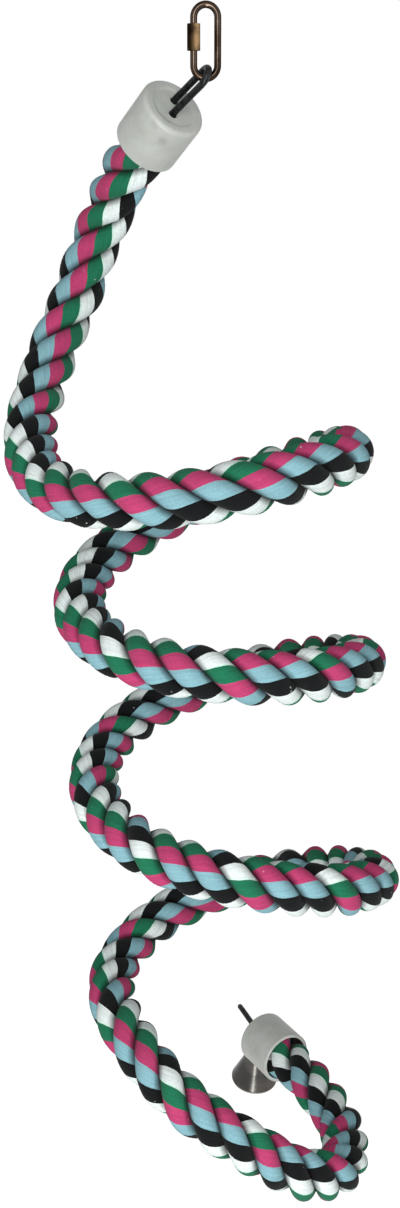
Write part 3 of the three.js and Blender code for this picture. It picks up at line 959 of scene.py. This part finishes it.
def link_nut(material):
    """The six-sided sleeve, chamfered at both ends, with its bore."""
    flat = NUT_ACROSS / 2
    corner = flat / math.cos(math.pi / 6)
    bore = LINK_WIRE / 2 + FIT_GAP
    top = -LINK_GAP_TOP + NUT_COVER
    bottom = top - NUT_LENGTH
    body = corner * NUT_CORNER_SHARE
    end = flat + NUT_END_PROUD
    sides = 48  # of which each flat takes eight

    def ring(widest, height):
        """A hexagon whose corners are cut at the widest radius."""
        points = []
        for k in range(sides):
            angle = 2 * math.pi * k / sides
            off_flat = (angle + math.pi / 6) % (math.pi / 3) - math.pi / 6
            radius = min(flat / math.cos(off_flat), widest)
            points.append(Vector((radius * math.cos(angle), radius * math.sin(angle), height)))
        return points

    rings = [
        ring(bore, bottom + NUT_BORE_CHAMFER), ring(end, bottom), ring(body, bottom + NUT_CHAMFER),
        ring(body, top - NUT_CHAMFER), ring(end, top), ring(bore, top - NUT_BORE_CHAMFER),
    ]
    vertices = [point for points in rings for point in points]
    faces = []
    for i in range(len(rings)):
        faces += faces_between(i * sides, (i + 1) % len(rings) * sides, sides)
    nut = piece("link_nut_sleeve", vertices, faces)
    nut.data.set_sharp_from_angle(angle=math.radians(20))
    nut.data.transform(Matrix.Translation((-LINK_WIDTH / 2, 0, 0)))
    wear(nut, material)
    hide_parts("link_nut")
    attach(nut, "nut")


def bell_place():
    """Where the bell hangs, square to the eye's leg, and how steeply that leg rises."""
    foot, top = BOTTOM_END.leg(1)
    leg = (top - foot).normalized()
    side = leg.cross(Z).normalized()
    origin = foot + leg * (BELL_FROM_FACE - EYE_STRAIGHT)
    return basis(origin, side, leg, side.cross(leg)), math.asin(leg.z)


def bell_outline(shrink):
    """The bell's wall from its flat top to its lip."""
    points = []
    for i in range(7):
        angle = math.pi / 2 * i / 6
        points.append((
            CROWN_FLAT + (CROWN_RADIUS - CROWN_FLAT) * math.sin(angle),
            -CROWN_DEPTH - CROWN_ROUND * (1 - math.cos(angle)),
        ))
    through = [
        Vector((CROWN_RADIUS, 0, -CROWN_DEPTH - CROWN_ROUND)), Vector((WAIST_RADIUS, 0, -WAIST_DEPTH)),
        Vector((FLARE_RADIUS, 0, -FLARE_DEPTH)), Vector((LIP_RADIUS, 0, -LIP_DEPTH + LIP_STRAIGHT)),
    ]
    points += [(p.x, p.z) for p in smooth_line(through, 10)[1:]]
    points.append((LIP_RADIUS - 0.0001, -LIP_DEPTH + LIP_EDGE))
    points.append((LIP_RADIUS - LIP_ROUND, -LIP_DEPTH))
    return [(radius - shrink, height) for radius, height in points]


# The ring runs down through the crown on both sides of the eye's leg
RING_SIDE = EYE_WIRE / 2 + FIT_GAP + RING_WIRE / 2


def bell(material):
    """The turned shell, with the ring's two holes in its crown."""
    place, _ = bell_place()
    ceiling = -CROWN_DEPTH - BELL_WALL
    inner = [point for point in bell_outline(BELL_WALL) if point[1] < ceiling]
    profile = [
        (0, -CROWN_DEPTH),
        *bell_outline(BELL_SLACK),
        *reversed(inner),
        (CROWN_FLAT - BELL_WALL, ceiling),
        (0, ceiling),
    ]
    shell = mesh_piece("bell_shell", turned(profile, 96))
    hole = RING_WIRE / 2 + FIT_GAP
    below = ceiling - 0.001
    above = -CROWN_DEPTH + 0.001
    drilled(shell, [(0, below), (hole, below), (hole, above), (0, above)], 20, (-RING_SIDE, RING_SIDE))
    shell.data.set_sharp_from_angle(angle=math.radians(40))
    # A painted highlight on the lip
    mark_painted_light(shell, lambda radius, height: 1 if height < -LIP_DEPTH + LIP_HIGHLIGHT_HEIGHT else 0)
    shell.data.transform(place)
    wear(shell, material)
    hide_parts("bell")
    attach(shell, "bell")


def bell_ring(material):
    """The long wire ring over the eye's leg."""
    place, _ = bell_place()
    upper = Vector((0, 0, 0))
    lower = Vector((0, 0, -RING_LENGTH))
    loop = arc(upper, RING_SIDE, X, Z, 0, 180, 20) + arc(lower, RING_SIDE, X, Z, 180, 360, 20)
    ring = round_tube("bell_ring", loop, RING_WIRE / 2, 16, closed=True)
    ring.data.transform(place)
    wear(ring, material)
    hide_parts("bell_hanger")
    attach(ring, "bell")


def clapper(material):
    """The eyelet on the ring's lower bow, the rod and the ball, which hang plumb."""
    place, slope = bell_place()
    seat = -RING_LENGTH - RING_SIDE
    eyelet_height = -(EYELET_RADIUS - ROD_DIAMETER / 2 - RING_WIRE / 2 - FIT_GAP)
    ball_height = -(BALL_DEPTH + seat)
    eyelet_line = arc(Vector((0, 0, eyelet_height)), EYELET_RADIUS, Y, Z, 0, 350, 28)
    eyelet = round_tube("clapper_eyelet", eyelet_line, ROD_DIAMETER / 2, 14)
    rod_line = [Vector((0, 0, ball_height)), Vector((0, 0, eyelet_height - EYELET_RADIUS))]
    rod = round_tube("clapper_rod", rod_line, ROD_DIAMETER / 2, 14)
    half_turn = arc(Vector((0, 0, ball_height)), BALL_DIAMETER / 2, X, Z, -90, 90, 24)
    ball = mesh_piece("clapper_ball", turned([(p.x, p.z) for p in half_turn], 40))
    hang = place @ Matrix.Translation((0, 0, seat)) @ Matrix.Rotation(-slope, 4, "X")
    for part in (eyelet, rod, ball):
        part.data.transform(hang)
        wear(part, material)
        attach(part, "clapper")
    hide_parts("clapper")


def dress_ferrules(material):
    """The two crimp sleeves keep their own shape, hidden in the caps."""
    for node in ("top_ferrule", "bottom_ferrule"):
        wear(frame["nodes"][node], material)


# Stage

FLOOR_HEIGHT = -1.6
FLOOR_SIDE = 24
FLOOR_GLOW = 0.8
AMBIENT = 0.3
WHITE_LIGHT = (1, 1, 1, 1)
PALE_GREY = (0.85, 0.85, 0.85, 1)


def seen_directly(tree, level=1.0):
    """The level for rays of the camera, of reflections and of refractions, and 0 for the rest."""
    path = tree.nodes.new("ShaderNodeLightPath")
    value = path.outputs["Is Camera Ray"]
    for ray in ("Is Glossy Ray", "Is Transmission Ray"):
        either = tree.nodes.new("ShaderNodeMath")
        either.operation = "MAXIMUM"
        tree.links.new(value, either.inputs[0])
        tree.links.new(path.outputs[ray], either.inputs[1])
        value = either.outputs[0]
    scaled = tree.nodes.new("ShaderNodeMath")
    scaled.operation = "MULTIPLY"
    scaled.inputs[1].default_value = level
    tree.links.new(value, scaled.inputs[0])
    return scaled.outputs[0]


def floor():
    """A plain pale floor far below, which shows white but keeps the object's shadow."""
    half = FLOOR_SIDE / 2
    corners = [(x * half, y * half, FLOOR_HEIGHT) for x, y in ((-1, -1), (1, -1), (1, 1), (-1, 1))]
    ground = piece("floor", corners, [(0, 1, 2, 3)])
    material = bpy.data.materials.new("floor")
    material.use_nodes = True
    tree = material.node_tree
    shader = tree.nodes["Principled BSDF"]
    shader.inputs["Base Color"].default_value = PALE_GREY
    shader.inputs["Roughness"].default_value = 0.9
    bright = tree.nodes.new("ShaderNodeEmission")
    bright.inputs["Color"].default_value = WHITE_LIGHT
    tree.links.new(seen_directly(tree, FLOOR_GLOW), bright.inputs["Strength"])
    both = tree.nodes.new("ShaderNodeAddShader")
    tree.links.new(shader.outputs[0], both.inputs[0])
    tree.links.new(bright.outputs[0], both.inputs[1])
    tree.links.new(both.outputs[0], tree.nodes["Material Output"].inputs["Surface"])
    wear(ground, material)


def world():
    """A soft grey light from all sides, and a white background that the camera and the metal see."""
    room = bpy.data.worlds.new("room")
    bpy.context.scene.world = room
    room.use_nodes = True
    tree = room.node_tree
    ambient = tree.nodes["Background"]
    ambient.inputs["Color"].default_value = PALE_GREY
    ambient.inputs["Strength"].default_value = AMBIENT
    behind = tree.nodes.new("ShaderNodeBackground")
    behind.inputs["Color"].default_value = WHITE_LIGHT
    behind.inputs["Strength"].default_value = 1
    mix = tree.nodes.new("ShaderNodeMixShader")
    tree.links.new(seen_directly(tree), mix.inputs["Fac"])
    tree.links.new(ambient.outputs[0], mix.inputs[1])
    tree.links.new(behind.outputs[0], mix.inputs[2])
    tree.links.new(mix.outputs[0], tree.nodes["World Output"].inputs["Surface"])


def lamp(name, place, target, size, power):
    """A soft area light that faces its target."""
    data = bpy.data.lights.new(name, "AREA")
    data.shape = "RECTANGLE"
    data.size, data.size_y = size
    data.energy = power
    light = bpy.data.objects.new(name, data)
    light.location = place
    light.rotation_euler = (Vector(target) - Vector(place)).to_track_quat("-Z", "Y").to_euler()
    bpy.context.scene.collection.objects.link(light)


def lights():
    """A tall light close to the camera, and a weak one from the right."""
    lamp("key", place=(-0.1, -1.0, -0.43), target=(0, 0, -0.45), size=(0.15, 1.5), power=12.6)
    lamp("side", place=(1.1, -0.7, 0.2), target=(0, 0, -0.4), size=(0.5, 0.9), power=2)


camera()
steel = drawn_steel()
wire_material = dark_wire()
cap_material = plastic()
chrome = plated("chrome", "#4a3f36", "#30261e", 60, (0.12, 0.16))
nut_chrome = plated("nut_chrome", "#7a6346", "#4a3a2a", 90, (0.2, 0.26), painted_dark_reflection=True)
nickel = plated("nickel", "#47433f", "#2a2826", 45, (0.26, 0.32), gloss=0.8)
dress_rope(cotton(), steel)
cap("upper_cap", "top_cap", "perch", TOP_END, cap_material)
cap("lower_cap", "bottom_cap", "tail", BOTTOM_END, cap_material)
eye("upper_eye", "top_eye", "perch", TOP_END, wire_material)
eye("lower_eye", "bottom_eye", "tail", BOTTOM_END, wire_material)
quick_link(chrome)
link_nut(nut_chrome)
bell(nickel)
bell_ring(steel)
clapper(wire_material)
dress_ferrules(steel)
floor()
world()
lights()

bpy.context.scene.view_settings.view_transform = "Standard"
